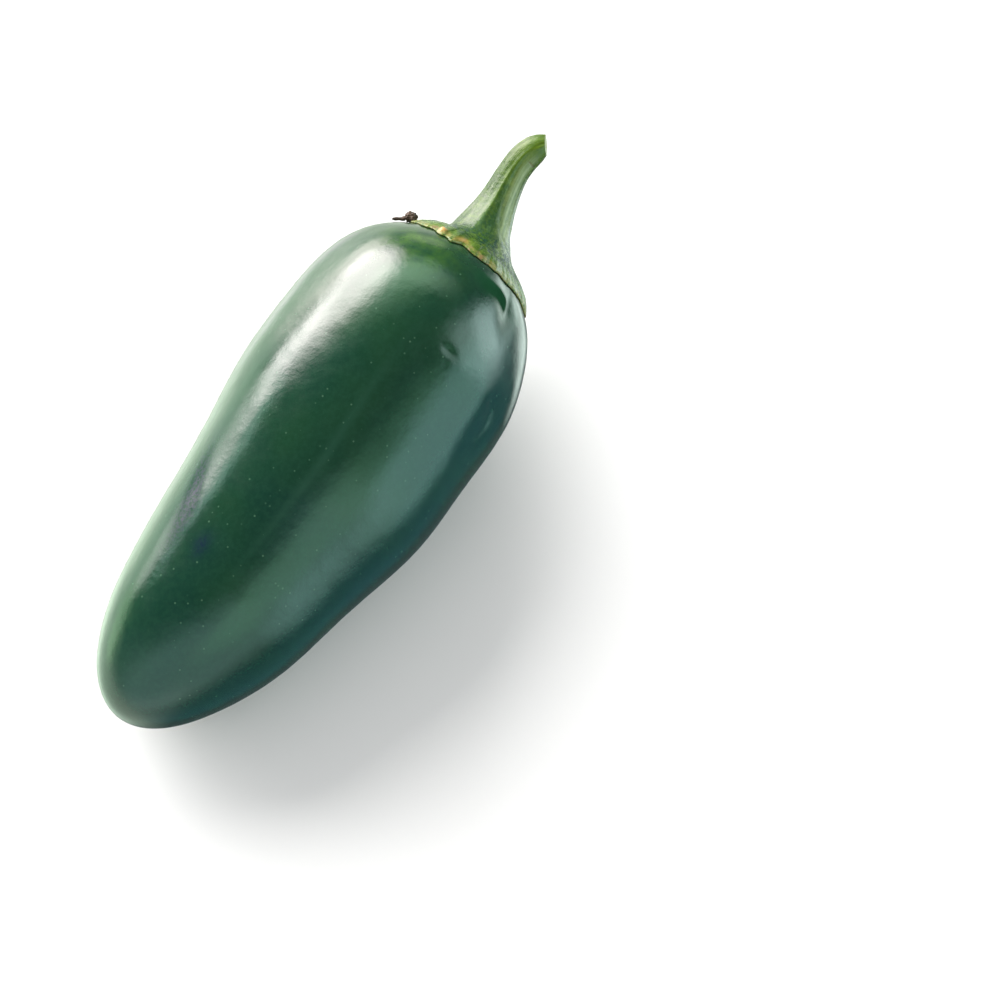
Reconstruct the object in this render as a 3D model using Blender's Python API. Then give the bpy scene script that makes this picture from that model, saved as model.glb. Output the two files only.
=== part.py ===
"""A fresh green chilli pepper of the blunt, thick-walled kind, as picked, lying on its side.

The pod is one solid. The calyx and the cut stem grew as one piece and are the other solid.
Run it with blender --background --python part.py, or from Blender's text editor.

Units are metres. In the fruit's own frame the tip is at the origin, +X runs along the pod to the
stem, +Y is the pod's left and +Z its upper side. An empty tips the fruit onto its belly, as a
tapered pod comes to rest, and centres its box over the world's origin.
"""

import math

import bmesh
import bpy
import numpy as np
from mathutils import Matrix, Vector

MM = 0.001

# Pod
POD_LENGTH = 77.3 * MM
# Twice the pod's radius over the width of a round-ended ball of its length, from tip (0) to shoulder (1).
FULLNESS = ((0.0, 0.393), (0.2, 0.390), (0.4, 0.389), (0.55, 0.430), (0.7, 0.480), (0.82, 0.551),
            (0.92, 0.634), (1.0, 0.740))
# How far the pod's middle line bends off straight, to the left.
SIDE_BEND = ((0.0, 0.8 * MM), (0.1, 0.35 * MM), (0.22, -0.5 * MM), (0.36, -1.0 * MM), (0.52, -1.6 * MM),
             (0.66, -1.15 * MM), (0.78, -1.2 * MM), (0.9, -0.65 * MM), (1.0, -1.0 * MM))
LOBES = 3
LOBE_HEIGHT = ((0.0, 0.000), (0.3, 0.004), (0.7, 0.008), (0.9, 0.022), (1.0, 0.030))
LOBE_PHASE = math.radians(100)
# Dents in the skin: place along the pod, angle round it, depth, and half-spans along and round.
DENTS = (
    (0.93, math.radians(143), 0.50 * MM, 0.045, math.radians(8)),
    (0.76, math.radians(161), 0.45 * MM, 0.080, math.radians(9)),
    (0.83, math.radians(40), 0.30 * MM, 0.110, math.radians(12)),
    (0.50, math.radians(325), 0.60 * MM, 0.160, math.radians(16)),
    (0.30, math.radians(215), 0.40 * MM, 0.100, math.radians(20)),
)
# The shallow seat in the shoulder that the calyx sits in: where it starts and is full, and its depth.
SEAT = (0.966, 0.984)
SEAT_DEPTH = 0.38 * MM
POD_SEGMENTS = 64
POD_RINGS = 44

# Calyx: angles are round the pod, 0 at its left and 90 degrees at its upper side.
CALYX_GAP = 0.3 * MM
CALYX_REACH = 0.352
# Each sepal's tooth: angle, share by which it reaches past the rim (the first is withered short),
# and half-width.
TEETH = (
    (math.radians(14), -0.07, math.radians(14)),
    (math.radians(78), 0.09, math.radians(9)),
    (math.radians(189), 0.20, math.radians(8)),
    (math.radians(250), 0.09, math.radians(12)),
    (math.radians(318), 0.12, math.radians(11)),
)
# Waves of the ragged rim: how many go round, their height as a share of the reach, and their phase.
RIM_WAVES = ((7, 0.018, 0.6), (12, 0.012, 2.1), (19, 0.008, 4.0))
RIM_THICKNESS = 0.70 * MM
PLATE_THICKNESS = 0.90 * MM
PLATE_STARTS = 0.64
PLATE_ENDS = 0.985
RIB_HEIGHT = 0.28 * MM
RIB_HALF_WIDTH = math.radians(11)

# Stem, from its foot to the cut: distance past the pod's end, offset to the left and upward, radius.
STEM_LINE = (
    (0.4 * MM, -0.90 * MM, 0.00 * MM, 5.50 * MM),
    (1.6 * MM, -0.70 * MM, 0.00 * MM, 4.45 * MM),
    (3.4 * MM, -0.36 * MM, 0.05 * MM, 3.55 * MM),
    (6.1 * MM, 0.04 * MM, 0.15 * MM, 2.74 * MM),
    (9.3 * MM, 0.52 * MM, 0.45 * MM, 2.22 * MM),
    (12.4 * MM, 0.78 * MM, 0.85 * MM, 2.00 * MM),
    (14.7 * MM, 0.50 * MM, 1.15 * MM, 1.96 * MM),
    (16.1 * MM, -0.05 * MM, 1.35 * MM, 1.80 * MM),
    (17.1 * MM, -0.80 * MM, 1.45 * MM, 1.40 * MM),
)
# The rings turn from square to the stem's line towards the slanting cut's plane over its end.
CUT_FACES = Vector((0.58, -0.81, 0.05)).normalized()
CUT_TURN_STARTS = 0.85
PITH_DEPTH = 0.25 * MM
# The calyx's ribs run on up the stem: their height as a share of its radius, how far along the stem
# they take to reach it, and how far they have turned round the stem by the cut.
STEM_RIB_SHARE = 0.085
STEM_RIB_RISE = 0.33
STEM_RIB_TWIST = math.radians(28)

STEM_SEGMENTS = 70
CUT_RINGS = 3
STEM_RINGS = 26
PLATE_RINGS = 8
UNDER_RINGS = 6

# The withered end of the first sepal: a curled bead on the rim, with a dry spur along the shoulder.
BEAD_ANGLE = math.radians(14)
BEAD_RADIUS = 0.75 * MM
SPUR_LENGTH = 2.3 * MM
SPUR_RADIUS = 0.32 * MM

# How it lies
REST_TILT = math.radians(6)
FLAT_DEPTH = 0.35 * MM


def through(stations, place):
    """The values at place of the smooth (natural cubic) curve through (place, value) stations."""
    x, y = np.array(stations, float).T
    place = np.asarray(place, float)
    step = np.diff(x)
    rows = np.eye(len(x))
    right = np.zeros(len(x))
    for i in range(1, len(x) - 1):
        rows[i, i - 1:i + 2] = step[i - 1], 2 * (step[i - 1] + step[i]), step[i]
        right[i] = 6 * ((y[i + 1] - y[i]) / step[i] - (y[i] - y[i - 1]) / step[i - 1])
    bend = np.linalg.solve(rows, right)
    i = np.clip(np.searchsorted(x, place, side="right") - 1, 0, len(x) - 2)
    after, before, h = place - x[i], x[i + 1] - place, step[i]
    return (
        (bend[i] * before**3 + bend[i + 1] * after**3) / (6 * h)
        + (y[i] / h - bend[i] * h / 6) * before
        + (y[i + 1] / h - bend[i + 1] * h / 6) * after
    )


def along_line(line, share):
    """Each column of a line's stations, at a share of the way from the first station to the last."""
    numbers = np.linspace(0, 1, len(line))
    return np.array([through(list(zip(numbers, column)), share) for column in zip(*line)])


def turned_from(angle, other):
    """The turn from one angle to another, between minus and plus half a turn."""
    return (angle - other + math.pi) % (2 * math.pi) - math.pi


def bump(distance, half_span):
    return np.exp(-((distance / half_span) ** 2))


def eased(share):
    """A smooth step from 0 to 1."""
    share = np.clip(share, 0, 1)
    return share * share * (3 - 2 * share)


def pod_skin(place, angle):
    """Points of the skin, where place runs from the tip (0) to the shoulder's top (1)."""
    place, angle = np.broadcast_arrays(np.asarray(place, float), np.asarray(angle, float))
    roundness = np.sqrt(np.clip(place * (1 - place), 0, None))
    radius = POD_LENGTH * roundness * through(FULLNESS, place)
    radius = radius * (1 + through(LOBE_HEIGHT, place) * np.cos(LOBES * (angle - LOBE_PHASE)))
    for at, side, depth, along, around in DENTS:
        radius = radius - depth * bump(place - at, along) * bump(turned_from(angle, side), around)
    middle = through(SIDE_BEND, place)
    along = POD_LENGTH * place - SEAT_DEPTH * eased((place - SEAT[0]) / (SEAT[1] - SEAT[0]))
    return np.stack((along, middle + radius * np.cos(angle), radius * np.sin(angle)), axis=-1)


def shoulder(reach, angle):
    """Skin points of the shoulder by reach, which is 0 at its top and grows towards the pod's side."""
    reach = np.asarray(reach, float)
    return pod_skin((1 + np.sqrt(1 - reach**2)) / 2, angle)


def shoulder_out(reach, angle):
    """Unit vectors that point out of the shoulder's skin."""
    step = 0.01
    reach, angle = np.broadcast_arrays(np.asarray(reach, float), np.asarray(angle, float))
    run = shoulder(reach + step, angle) - shoulder(np.abs(reach - step), angle + math.pi * (reach < step))
    away = np.stack((np.zeros_like(angle), np.cos(angle), np.sin(angle)), axis=-1)
    rise = (run * away).sum(axis=-1, keepdims=True)
    out = rise * np.array((1.0, 0.0, 0.0)) - run[..., :1] * away
    return out / np.linalg.norm(out, axis=-1, keepdims=True)


def rim_reach(angle):
    """How far down the shoulder the calyx's ragged rim comes, at each angle."""
    share = np.ones_like(angle)
    for side, more, half_width in TEETH:
        share = share + more * bump(turned_from(angle, side), half_width)
    for waves, height, phase in RIM_WAVES:
        share = share + height * np.sin(waves * angle + phase)
    return CALYX_REACH * share


def ribs(angle, twist=0.0):
    """From 0 to 1: the ribs that run up from the teeth into the stem."""
    return sum(bump(turned_from(angle, side + twist), RIB_HALF_WIDTH) for side, _, _ in TEETH)


def over_shoulder(share, height, angle):
    """Points at a height over the shoulder, at a share of the way from its top to the calyx's rim."""
    reach = share * rim_reach(angle)
    return shoulder(reach, angle) + height[..., None] * shoulder_out(reach, angle)


def stem_ring(share, angle):
    """One ring of the stem, at a share of the way from its foot to the cut."""
    near = 0.01
    past, left, up, radius = along_line(STEM_LINE, share)
    forward = Vector((along_line(STEM_LINE, share + near) - along_line(STEM_LINE, share - near))[:3])
    turn = max(0.0, (share - CUT_TURN_STARTS) / (1 - CUT_TURN_STARTS)) ** 2
    forward = forward.normalized().lerp(CUT_FACES, turn).normalized()
    side = (Vector((0, 1, 0)) - forward * forward.y).normalized()
    upward = forward.cross(side)
    rib = STEM_RIB_SHARE * ribs(angle, STEM_RIB_TWIST * share) * min(1.0, share / STEM_RIB_RISE)
    out = np.outer(np.cos(angle), side) + np.outer(np.sin(angle), upward)
    return np.array((POD_LENGTH + past, left, up)) + (radius * (1 + rib))[:, None] * out


def calyx_rings(angle):
    """Rings from the middle of the cut, over the outside and round the rim, to the underside's middle."""
    cut_edge = stem_ring(1.0, angle)
    middle = cut_edge.mean(axis=0)
    rings = []
    for i in range(1, CUT_RINGS + 1):
        share = i / (CUT_RINGS + 1)
        sunk = PITH_DEPTH * (1 - share**2)
        rings.append(middle + (cut_edge - middle) * share - sunk * np.array(CUT_FACES))
    for share in np.linspace(1, 0, STEM_RINGS):
        rings.append(stem_ring(share, angle))
    for share in np.linspace(PLATE_STARTS, PLATE_ENDS, PLATE_RINGS):
        out = (share - PLATE_STARTS) / (1 - PLATE_STARTS)
        thickness = PLATE_THICKNESS + (RIM_THICKNESS - PLATE_THICKNESS) * out
        thickness = thickness + RIB_HEIGHT * ribs(angle) * (1 - out)
        rings.append(over_shoulder(share, CALYX_GAP + thickness, angle))
    underside = np.full_like(angle, CALYX_GAP)
    rings.append(over_shoulder(1.0, underside + 0.5 * RIM_THICKNESS, angle))
    for i in range(UNDER_RINGS):
        rings.append(over_shoulder(PLATE_ENDS * (1 - i / UNDER_RINGS), underside, angle))
    ends = middle - PITH_DEPTH * np.array(CUT_FACES), over_shoulder(0.0, underside[:1], angle[:1])[0]
    return rings, ends


def material(name, colour, roughness):
    made = bpy.data.materials.new(name)
    made.use_nodes = True
    shader = made.node_tree.nodes["Principled BSDF"]
    shader.inputs["Base Color"].default_value = (*colour, 1.0)
    shader.inputs["Roughness"].default_value = roughness
    shader.inputs["Metallic"].default_value = 0.0
    made.diffuse_color = (*colour, 1.0)
    return made


def ball(segments, rings):
    """A sphere whose poles lie on X, with each vertex's ring (0 at +X) and its angle about X."""
    bm = bmesh.new()
    poles_on_x = Matrix.Rotation(math.radians(90), 4, "Y")
    bmesh.ops.create_uvsphere(bm, u_segments=segments, v_segments=rings, radius=1.0, matrix=poles_on_x)
    bmesh.ops.recalc_face_normals(bm, faces=bm.faces)
    points = np.array([vertex.co for vertex in bm.verts])
    ring = np.rint(np.arccos(np.clip(points[:, 0], -1, 1)) * rings / math.pi).astype(int)
    angle = np.arctan2(points[:, 2], points[:, 1]) % (2 * math.pi)
    return bm, ring, angle


def add_object(name, bm, collection):
    mesh = bpy.data.meshes.new(name)
    bm.to_mesh(mesh)
    bm.free()
    made = bpy.data.objects.new(name, mesh)
    collection.objects.link(made)
    return made


def shaped(name, bm, points, collection, look):
    """Moves the sphere's vertices to points and makes it a smooth-shaded object."""
    for vertex, point in zip(bm.verts, points):
        vertex.co = point
    made = add_object(name, bm, collection)
    made.data.shade_smooth()
    made.data.materials.append(look)
    return made


def make_pod(collection):
    bm, ring, angle = ball(POD_SEGMENTS, POD_RINGS)
    place = (1 + np.cos(ring * math.pi / POD_RINGS)) / 2
    look = material("pod_skin", (0.018, 0.105, 0.035), 0.22)
    return shaped("pod", bm, pod_skin(place, angle), collection, look)


def make_calyx_with_stem(collection):
    last = CUT_RINGS + STEM_RINGS + PLATE_RINGS + 1 + UNDER_RINGS + 1
    bm, ring, angle = ball(STEM_SEGMENTS, last)
    rings, ends = calyx_rings(np.sort(angle[ring == 1]))
    points = np.zeros((len(ring), 3))
    for i, made in enumerate(rings, start=1):
        of_ring = np.flatnonzero(ring == i)
        points[of_ring[np.argsort(angle[of_ring])]] = made
    points[ring == 0], points[ring == last] = ends
    look = material("stem_green", (0.22, 0.36, 0.09), 0.5)
    return shaped("calyx_with_stem", bm, points, collection, look)


def make_withered_end(collection):
    """The bead and its spur, which a union joins to the calyx."""
    reach = rim_reach(np.array([BEAD_ANGLE]))[0]
    out = Vector(shoulder_out(reach, BEAD_ANGLE))
    seat = Vector(shoulder(reach, BEAD_ANGLE)) + out * (CALYX_GAP + 0.9 * BEAD_RADIUS)
    bead = bmesh.new()
    bmesh.ops.create_icosphere(bead, subdivisions=2, radius=BEAD_RADIUS, matrix=Matrix.Translation(seat))
    run = (Vector(shoulder(reach + 0.1, BEAD_ANGLE)) - Vector(shoulder(reach, BEAD_ANGLE))).normalized()
    middle = seat - out * 0.25 * BEAD_RADIUS + run * 0.5 * SPUR_LENGTH
    place = Matrix.Translation(middle) @ run.to_track_quat("Z", "Y").to_matrix().to_4x4()
    spur = bmesh.new()
    bmesh.ops.create_cone(spur, cap_ends=True, segments=8, radius1=SPUR_RADIUS, radius2=0.95 * SPUR_RADIUS,
                          depth=SPUR_LENGTH, matrix=place)
    return add_object("withered_bead", bead, collection), add_object("withered_spur", spur, collection)


def join(target, helpers):
    union = target.modifiers.new("grown_on", "BOOLEAN")
    union.operation = "UNION"
    union.solver = "EXACT"
    union.operand_type = "COLLECTION"
    union.collection = helpers


def cut_flat(pod, cutters):
    """Takes the small flat spot that the pod rests on off its belly, level with the ground."""
    lowest = min((pod.matrix_world @ vertex.co).z for vertex in pod.data.vertices)
    size = 2 * POD_LENGTH
    below = Matrix.Translation((POD_LENGTH / 2, 0, lowest + FLAT_DEPTH - size / 2))
    bm = bmesh.new()
    bmesh.ops.create_cube(bm, size=size, matrix=below)
    ground = add_object("ground_cutter", bm, cutters)
    flat = pod.modifiers.new("flat_spot", "BOOLEAN")
    flat.operation = "DIFFERENCE"
    flat.solver = "EXACT"
    flat.object = ground
    return ground


def centre_over_origin(fruit, pieces, ground):
    """Moves the fruit so that its box is centred over the origin and its flat spot is at height 0."""
    bpy.context.view_layer.update()
    graph = bpy.context.evaluated_depsgraph_get()
    corners = np.array([
        tuple(piece.matrix_world @ vertex.co)
        for piece in pieces
        for vertex in piece.evaluated_get(graph).data.vertices
    ])
    low, high = corners.min(axis=0), corners.max(axis=0)
    shift = Vector((-(low[0] + high[0]) / 2, -(low[1] + high[1]) / 2, -low[2]))
    fruit.location += shift
    ground.location += shift
    bpy.context.view_layer.update()


def main():
    for old in list(bpy.data.objects):
        bpy.data.objects.remove(old)
    pepper = bpy.data.collections.new("chilli_pepper")
    cutters = bpy.data.collections.new("cutters")
    withered = bpy.data.collections.new("withered_end")
    for collection in (pepper, cutters, withered):
        bpy.context.scene.collection.children.link(collection)

    pod = make_pod(pepper)
    calyx = make_calyx_with_stem(pepper)
    helpers = make_withered_end(withered)
    join(calyx, withered)

    fruit = bpy.data.objects.new("fruit", None)
    pepper.objects.link(fruit)
    for piece in (pod, calyx, *helpers):
        piece.parent = fruit
    fruit.rotation_euler = (0, -REST_TILT, 0)
    bpy.context.view_layer.update()
    ground = cut_flat(pod, cutters)
    for helper in (ground, *helpers):
        helper.hide_render = True
        helper.display_type = "WIRE"
    centre_over_origin(fruit, (pod, calyx), ground)


main()
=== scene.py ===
"""Looks of a fresh green chilli pepper that lies on its side on a pale floor.

The pod and the calyx with its stem are modelled here again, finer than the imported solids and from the
same dimensions. The pod gains waves of the skin, a furrow with a swelling beside it, a hollow and pits.
The calyx and stem gain a thin, ragged rim, a wart, a groove, a crack, fibres and lumps. Each takes the
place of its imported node. The withered end of one sepal is a piece of its own here.

Units are metres. Shapes are made in the fruit's own frame, where the tip is at the origin, +X runs
along the pod to the stem, +Y is the pod's left and +Z its upper side. A place on the pod runs from its
tip (0) to the top of its shoulder (1). Angles go round the pod: 0 is its left, 90 degrees its upper
side and 180 degrees its right. A spot is given by place, angle, and half-spans along and round. A ramp
is given by where it is 0 and where it is 1.
"""

import math
from collections import namedtuple

import bmesh
import bpy
import numpy as np
from mathutils import Euler, Matrix, Vector, noise


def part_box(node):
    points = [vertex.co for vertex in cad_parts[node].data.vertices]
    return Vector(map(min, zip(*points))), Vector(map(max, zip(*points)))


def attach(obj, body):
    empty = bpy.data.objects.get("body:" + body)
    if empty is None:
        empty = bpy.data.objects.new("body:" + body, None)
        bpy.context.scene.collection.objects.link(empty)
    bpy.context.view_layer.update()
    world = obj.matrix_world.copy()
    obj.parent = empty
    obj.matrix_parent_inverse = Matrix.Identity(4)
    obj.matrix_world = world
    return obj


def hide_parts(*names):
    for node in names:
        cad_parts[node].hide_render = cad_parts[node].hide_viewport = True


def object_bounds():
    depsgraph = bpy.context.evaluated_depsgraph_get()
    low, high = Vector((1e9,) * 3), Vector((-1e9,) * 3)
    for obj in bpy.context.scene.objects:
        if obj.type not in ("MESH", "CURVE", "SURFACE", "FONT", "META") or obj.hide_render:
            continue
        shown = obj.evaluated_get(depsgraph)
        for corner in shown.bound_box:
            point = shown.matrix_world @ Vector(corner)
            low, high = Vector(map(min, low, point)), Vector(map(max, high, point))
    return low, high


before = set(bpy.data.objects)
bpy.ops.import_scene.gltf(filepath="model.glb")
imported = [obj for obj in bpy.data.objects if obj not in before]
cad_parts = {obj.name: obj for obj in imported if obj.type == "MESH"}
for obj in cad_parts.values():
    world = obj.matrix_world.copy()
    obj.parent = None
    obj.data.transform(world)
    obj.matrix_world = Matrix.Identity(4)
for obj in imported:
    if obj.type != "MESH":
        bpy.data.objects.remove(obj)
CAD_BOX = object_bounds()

MM = 0.001

# The pod's driving dimensions, as in the solids
POD_LENGTH = 77.3 * MM
FULLNESS = ((0.0, 0.393), (0.2, 0.390), (0.4, 0.389), (0.55, 0.430), (0.7, 0.480), (0.82, 0.551),
            (0.92, 0.634), (1.0, 0.740))
SIDE_BEND = ((0.0, 0.8 * MM), (0.1, 0.35 * MM), (0.22, -0.5 * MM), (0.36, -1.0 * MM), (0.52, -1.6 * MM),
             (0.66, -1.15 * MM), (0.78, -1.2 * MM), (0.9, -0.65 * MM), (1.0, -1.0 * MM))
LOBES = 3
LOBE_HEIGHT = ((0.0, 0.000), (0.3, 0.004), (0.7, 0.008), (0.9, 0.022), (1.0, 0.030))
LOBE_PHASE = math.radians(100)
# Dents in the skin: place along the pod, angle round it, depth, and half-spans along and round.
DENTS = (
    (0.93, math.radians(143), 0.50 * MM, 0.045, math.radians(8)),
    (0.76, math.radians(161), 0.45 * MM, 0.080, math.radians(9)),
    (0.83, math.radians(40), 0.30 * MM, 0.110, math.radians(12)),
    (0.50, math.radians(325), 0.60 * MM, 0.160, math.radians(16)),
    (0.30, math.radians(215), 0.40 * MM, 0.100, math.radians(20)),
)
REST_TILT = math.radians(6)
# A low step in the shoulder under the calyx, shallower than in the solids because the rim is thinner
SEAT = (0.966, 0.984)
SEAT_DEPTH = 0.14 * MM

# The calyx's and stem's driving dimensions, as in the solids. Each tooth: angle, how much further it
# reaches, half-width. Each wave of the rim: count, height as a share of the reach, phase.
CALYX_GAP = 0.3 * MM
CALYX_REACH = 0.352
TEETH = (
    (math.radians(14), -0.07, math.radians(14)),
    (math.radians(78), 0.09, math.radians(9)),
    (math.radians(189), 0.20, math.radians(8)),
    (math.radians(250), 0.09, math.radians(12)),
    (math.radians(318), 0.12, math.radians(11)),
)
RIM_WAVES = ((7, 0.018, 0.6), (12, 0.012, 2.1), (19, 0.008, 4.0))
PLATE_THICKNESS = 0.90 * MM
PLATE_STARTS = 0.64
PLATE_ENDS = 0.985
RIB_HEIGHT = 0.28 * MM
RIB_HALF_WIDTH = math.radians(11)
# Distance past the pod's end, offset to the left and upward, radius
STEM_LINE = (
    (0.4 * MM, -0.90 * MM, 0.00 * MM, 5.50 * MM),
    (1.6 * MM, -0.70 * MM, 0.00 * MM, 4.45 * MM),
    (3.4 * MM, -0.36 * MM, 0.05 * MM, 3.55 * MM),
    (6.1 * MM, 0.04 * MM, 0.15 * MM, 2.74 * MM),
    (9.3 * MM, 0.52 * MM, 0.45 * MM, 2.22 * MM),
    (12.4 * MM, 0.78 * MM, 0.85 * MM, 2.00 * MM),
    (14.7 * MM, 0.50 * MM, 1.15 * MM, 1.96 * MM),
    (16.1 * MM, -0.05 * MM, 1.35 * MM, 1.80 * MM),
    (17.1 * MM, -0.80 * MM, 1.45 * MM, 1.40 * MM),
)
CUT_FACES = Vector((0.58, -0.81, 0.05)).normalized()
CUT_TURN_STARTS = 0.85
PITH_DEPTH = 0.25 * MM
STEM_RIB_SHARE = 0.085
STEM_RIB_RISE = 0.33
STEM_RIB_TWIST = math.radians(28)

# The withered end: a lumpy bead on the rim, and a spur that starts in it and runs along the shoulder
BEAD_ANGLE = math.radians(14)
BEAD_RADIUS = 0.75 * MM
BEAD_LIFT = 0.9 * BEAD_RADIUS
# Lumps of the bead: wave length, height as a share of the radius, and a shift of the noise.
BEAD_LUMPS = ((0.55 * MM, 0.42, (3.1, 7.7, 1.3)), (0.22 * MM, 0.22, (8.4, 2.2, 6.1)))
SPUR_LENGTH = 1.794 * MM
SPUR_RADIUS = 0.32 * MM
SPUR_STARTS = 0.4 * SPUR_LENGTH
# How far the spur's start lies below the bead's middle, and how much further its end does
SPUR_SINK = 0.25 * BEAD_RADIUS
SPUR_STOOP = 0.25 * BEAD_RADIUS
# How far the spur sways to its side, and how many radians of a wave that takes over its length
SPUR_SWAY = 0.12 * MM
SPUR_SWAY_TURN = 4
# The spur's taper, its knots' height and its rounded end, as shares of its radius, and the knots' wave
SPUR_TAPER = 0.45
SPUR_KNOTS = 0.15
SPUR_KNOT_TURN = 11
SPUR_END = 0.35
SPUR_STEPS = 24
SPUR_SEGMENTS = 20

# The noise's shift from one seed to the next, and the seeds
NOISE_SHIFT = (17.3, -9.1, 5.7)
WAVE_SEED = 1
LUMP_SEED = 3
RIM_SEED = 4
CUT_SEED = 5

# Finer detail of the pod. Waves of the skin: length and height.
POD_RINGS = 300
POD_SEGMENTS = 300
WAVES = ((8.0 * MM, 0.06 * MM), (3.2 * MM, 0.028 * MM), (1.5 * MM, 0.011 * MM))
HOLLOW = (0.25, math.radians(82), 0.14, math.radians(24))
HOLLOW_DEPTH = 0.35 * MM
# A sharp furrow at the bottom of the dent by the calyx: its angle by place, and the half-widths of its
# two sides
FURROW_LINE = ((0.87, math.radians(144.5)), (0.905, math.radians(145.0)), (0.93, math.radians(146.2)),
               (0.95, math.radians(148.0)), (0.97, math.radians(151.0)))
FURROW_RAMP = (0.90, 0.93)
FURROW_DEPTH = 0.05 * MM
FURROW_SPANS = (math.radians(2.6), math.radians(1.2))
SWELLING = (0.940, math.radians(162), 0.040, math.radians(10))
SWELLING_HEIGHT = 0.15 * MM
# Each pit: place, angle, depth, and half-spans along and round.
PITS = (
    (0.794, math.radians(119.5), 0.15 * MM, 0.0065, math.radians(3.2)),
    (0.772, math.radians(121.0), 0.04 * MM, 0.0050, math.radians(1.2)),
    (0.782, math.radians(156.0), 0.09 * MM, 0.0120, math.radians(2.4)),
    (0.765, math.radians(160.5), 0.08 * MM, 0.0100, math.radians(2.0)),
    (0.748, math.radians(163.0), 0.09 * MM, 0.0130, math.radians(2.2)),
    (0.728, math.radians(162.0), 0.06 * MM, 0.0100, math.radians(1.8)),
)
# All this relief fades out at the tip and under the calyx.
TIP_RAMP = (0.0, 0.03)
SHOULDER_RAMP = (0.972, 0.958)
# How softly the belly turns into the small flat that the pod rests on
FLAT_SOFTNESS = 0.15 * MM

# Marks of colour on the pod
YELLOWED = (0.925, math.radians(74), 0.042, math.radians(26))
# The blush follows a line, given as angle by place. It has a middle place, half-length and half-width.
BLUSH_LINE = ((0.22, math.radians(62)), (0.28, math.radians(57)), (0.352, math.radians(53.8)),
              (0.422, math.radians(46)), (0.50, math.radians(42)))
BLUSH = (0.36, 0.085, math.radians(6.5))
# A painted reflection: a faint, lighter line along the pod's upper side, where a low lobe edge would catch
# light
GLINT_STREAK = (0.52, math.radians(101), 0.20, math.radians(2.2))
GLINT_STREAK_STRENGTH = 0.6
BRUISE = (0.30, math.radians(76), 0.022, math.radians(4.5))
# Painted light: the pod's left side, which faces the key lamp, is painted a lighter green, as if lit more
LIT_FLANK = math.radians(14)
LIT_FLANK_HALF_WIDTH = math.radians(38)
# The crease, painted shade: a dull wedge with no shine between the calyx's rim and the furrow. The angle of
# its right side by place, the places of its top and bottom by angle, and the widths over which its sides
# fade.
CREASE_RIGHT = ((0.90, math.radians(143.2)), (0.91, math.radians(144.2)), (0.925, math.radians(146.0)),
                (0.935, math.radians(146.4)), (0.945, math.radians(145.6)), (0.955, math.radians(143.0)))
CREASE_TOP = ((math.radians(100), 0.964), (math.radians(113), 0.961), (math.radians(130), 0.960),
              (math.radians(138), 0.959), (math.radians(143), 0.955), (math.radians(150), 0.950))
CREASE_BOTTOM = ((math.radians(105), 0.932), (math.radians(117), 0.912), (math.radians(134), 0.909),
                 (math.radians(142), 0.902), (math.radians(150), 0.900))
CREASE_RIGHT_FADE = math.radians(3.2)
CREASE_LEFT_RAMP = (math.radians(96), math.radians(128))
CREASE_TOP_FADE = 0.016
CREASE_BOTTOM_FADE = 0.022

# Finer detail of the calyx and stem
STEM_SEGMENTS = 360
CUT_RINGS = 14
STEM_RINGS = 150
PLATE_RINGS = 46
RIM_RINGS = 5
UNDER_RINGS = 8
# Small lobes and nicks of the rim: angle, how much further it reaches, half-width.
NICKS = (
    (math.radians(66), -0.020, math.radians(3.0)),
    (math.radians(80), -0.028, math.radians(3.0)),
    (math.radians(87), 0.075, math.radians(3.0)),
    (math.radians(94), -0.035, math.radians(3.0)),
    (math.radians(104), 0.014, math.radians(3.0)),
    (math.radians(118), -0.016, math.radians(2.5)),
    (math.radians(139), 0.018, math.radians(2.5)),
    (math.radians(168), 0.025, math.radians(3.0)),
    (math.radians(176), -0.025, math.radians(3.0)),
)
# How ragged the rim is: waves to the radian, and their height as a share of the reach.
RAGGED = ((5.0, 0.020), (14.0, 0.022), (38.0, 0.018))
# The calyx thins towards its rim, by this power of the way there, and its lip hugs the skin.
THIN_RIM = 0.22 * MM
RIM_GAP = 0.02 * MM
RIM_THINNING = 1.5
WART = (0.93, math.radians(73), 0.042, math.radians(2.8))
WART_HEIGHT = 0.40 * MM
FIBRE_COUNTS = (23, 37, 52)
FIBRE_HEIGHT = 0.006 * MM
FIBRE_RAMP = (0.0, 0.15)
# The fibres drift round the stem by this many radians of their own waves, and back as a wave that has
# this many radians over the stem's length.
FIBRE_DRIFT = 3.0
FIBRE_DRIFT_TURN = 2.2
# Low lumps of the calyx and stem, and the share of their height that they lose up the stem
LUMP_LENGTH = 1.1 * MM
LUMP_HEIGHT = 0.05 * MM
LUMP_LOSS = 0.4
LUMP_RAMP = (0.0, 0.4)
# A groove of the stem: its angle by place
GROOVE_LINE = ((0.0, math.radians(168)), (0.13, math.radians(152)), (0.335, math.radians(124.5)),
               (0.51, math.radians(113.5)), (0.68, math.radians(106)), (1.0, math.radians(98)))
GROOVE_DEPTH = 0.09 * MM
GROOVE_HALF_WIDTH = math.radians(8)
GROOVE_RAMP = (0.0, 0.1)
CRACK = (0.705, math.radians(148), 0.008, math.radians(18))
CRACK_DEPTH = 0.14 * MM
CUT_LUMP_LENGTH = 0.5 * MM
CUT_LUMP_HEIGHT = 0.05 * MM

# Marks of colour on the calyx and stem. Their places are shares of the stem from its foot to the cut,
# or of the calyx's plate from its middle to its rim.
STEM_FOOT_RAMP = (0.28, 0.08)
PLATE_FOOT_RAMP = (0.84, 0.68)
SHADE = (0.26, math.radians(104), 0.17, math.radians(24))
# Painted shade: the side of the stem that faces the key lamp is painted a darker green, to even out its
# light
LAMP_SIDE = math.radians(40)
LAMP_SIDE_HALF_WIDTH = math.radians(40)
YOUNG_RAMP = (0.45, 0.85)
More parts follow.
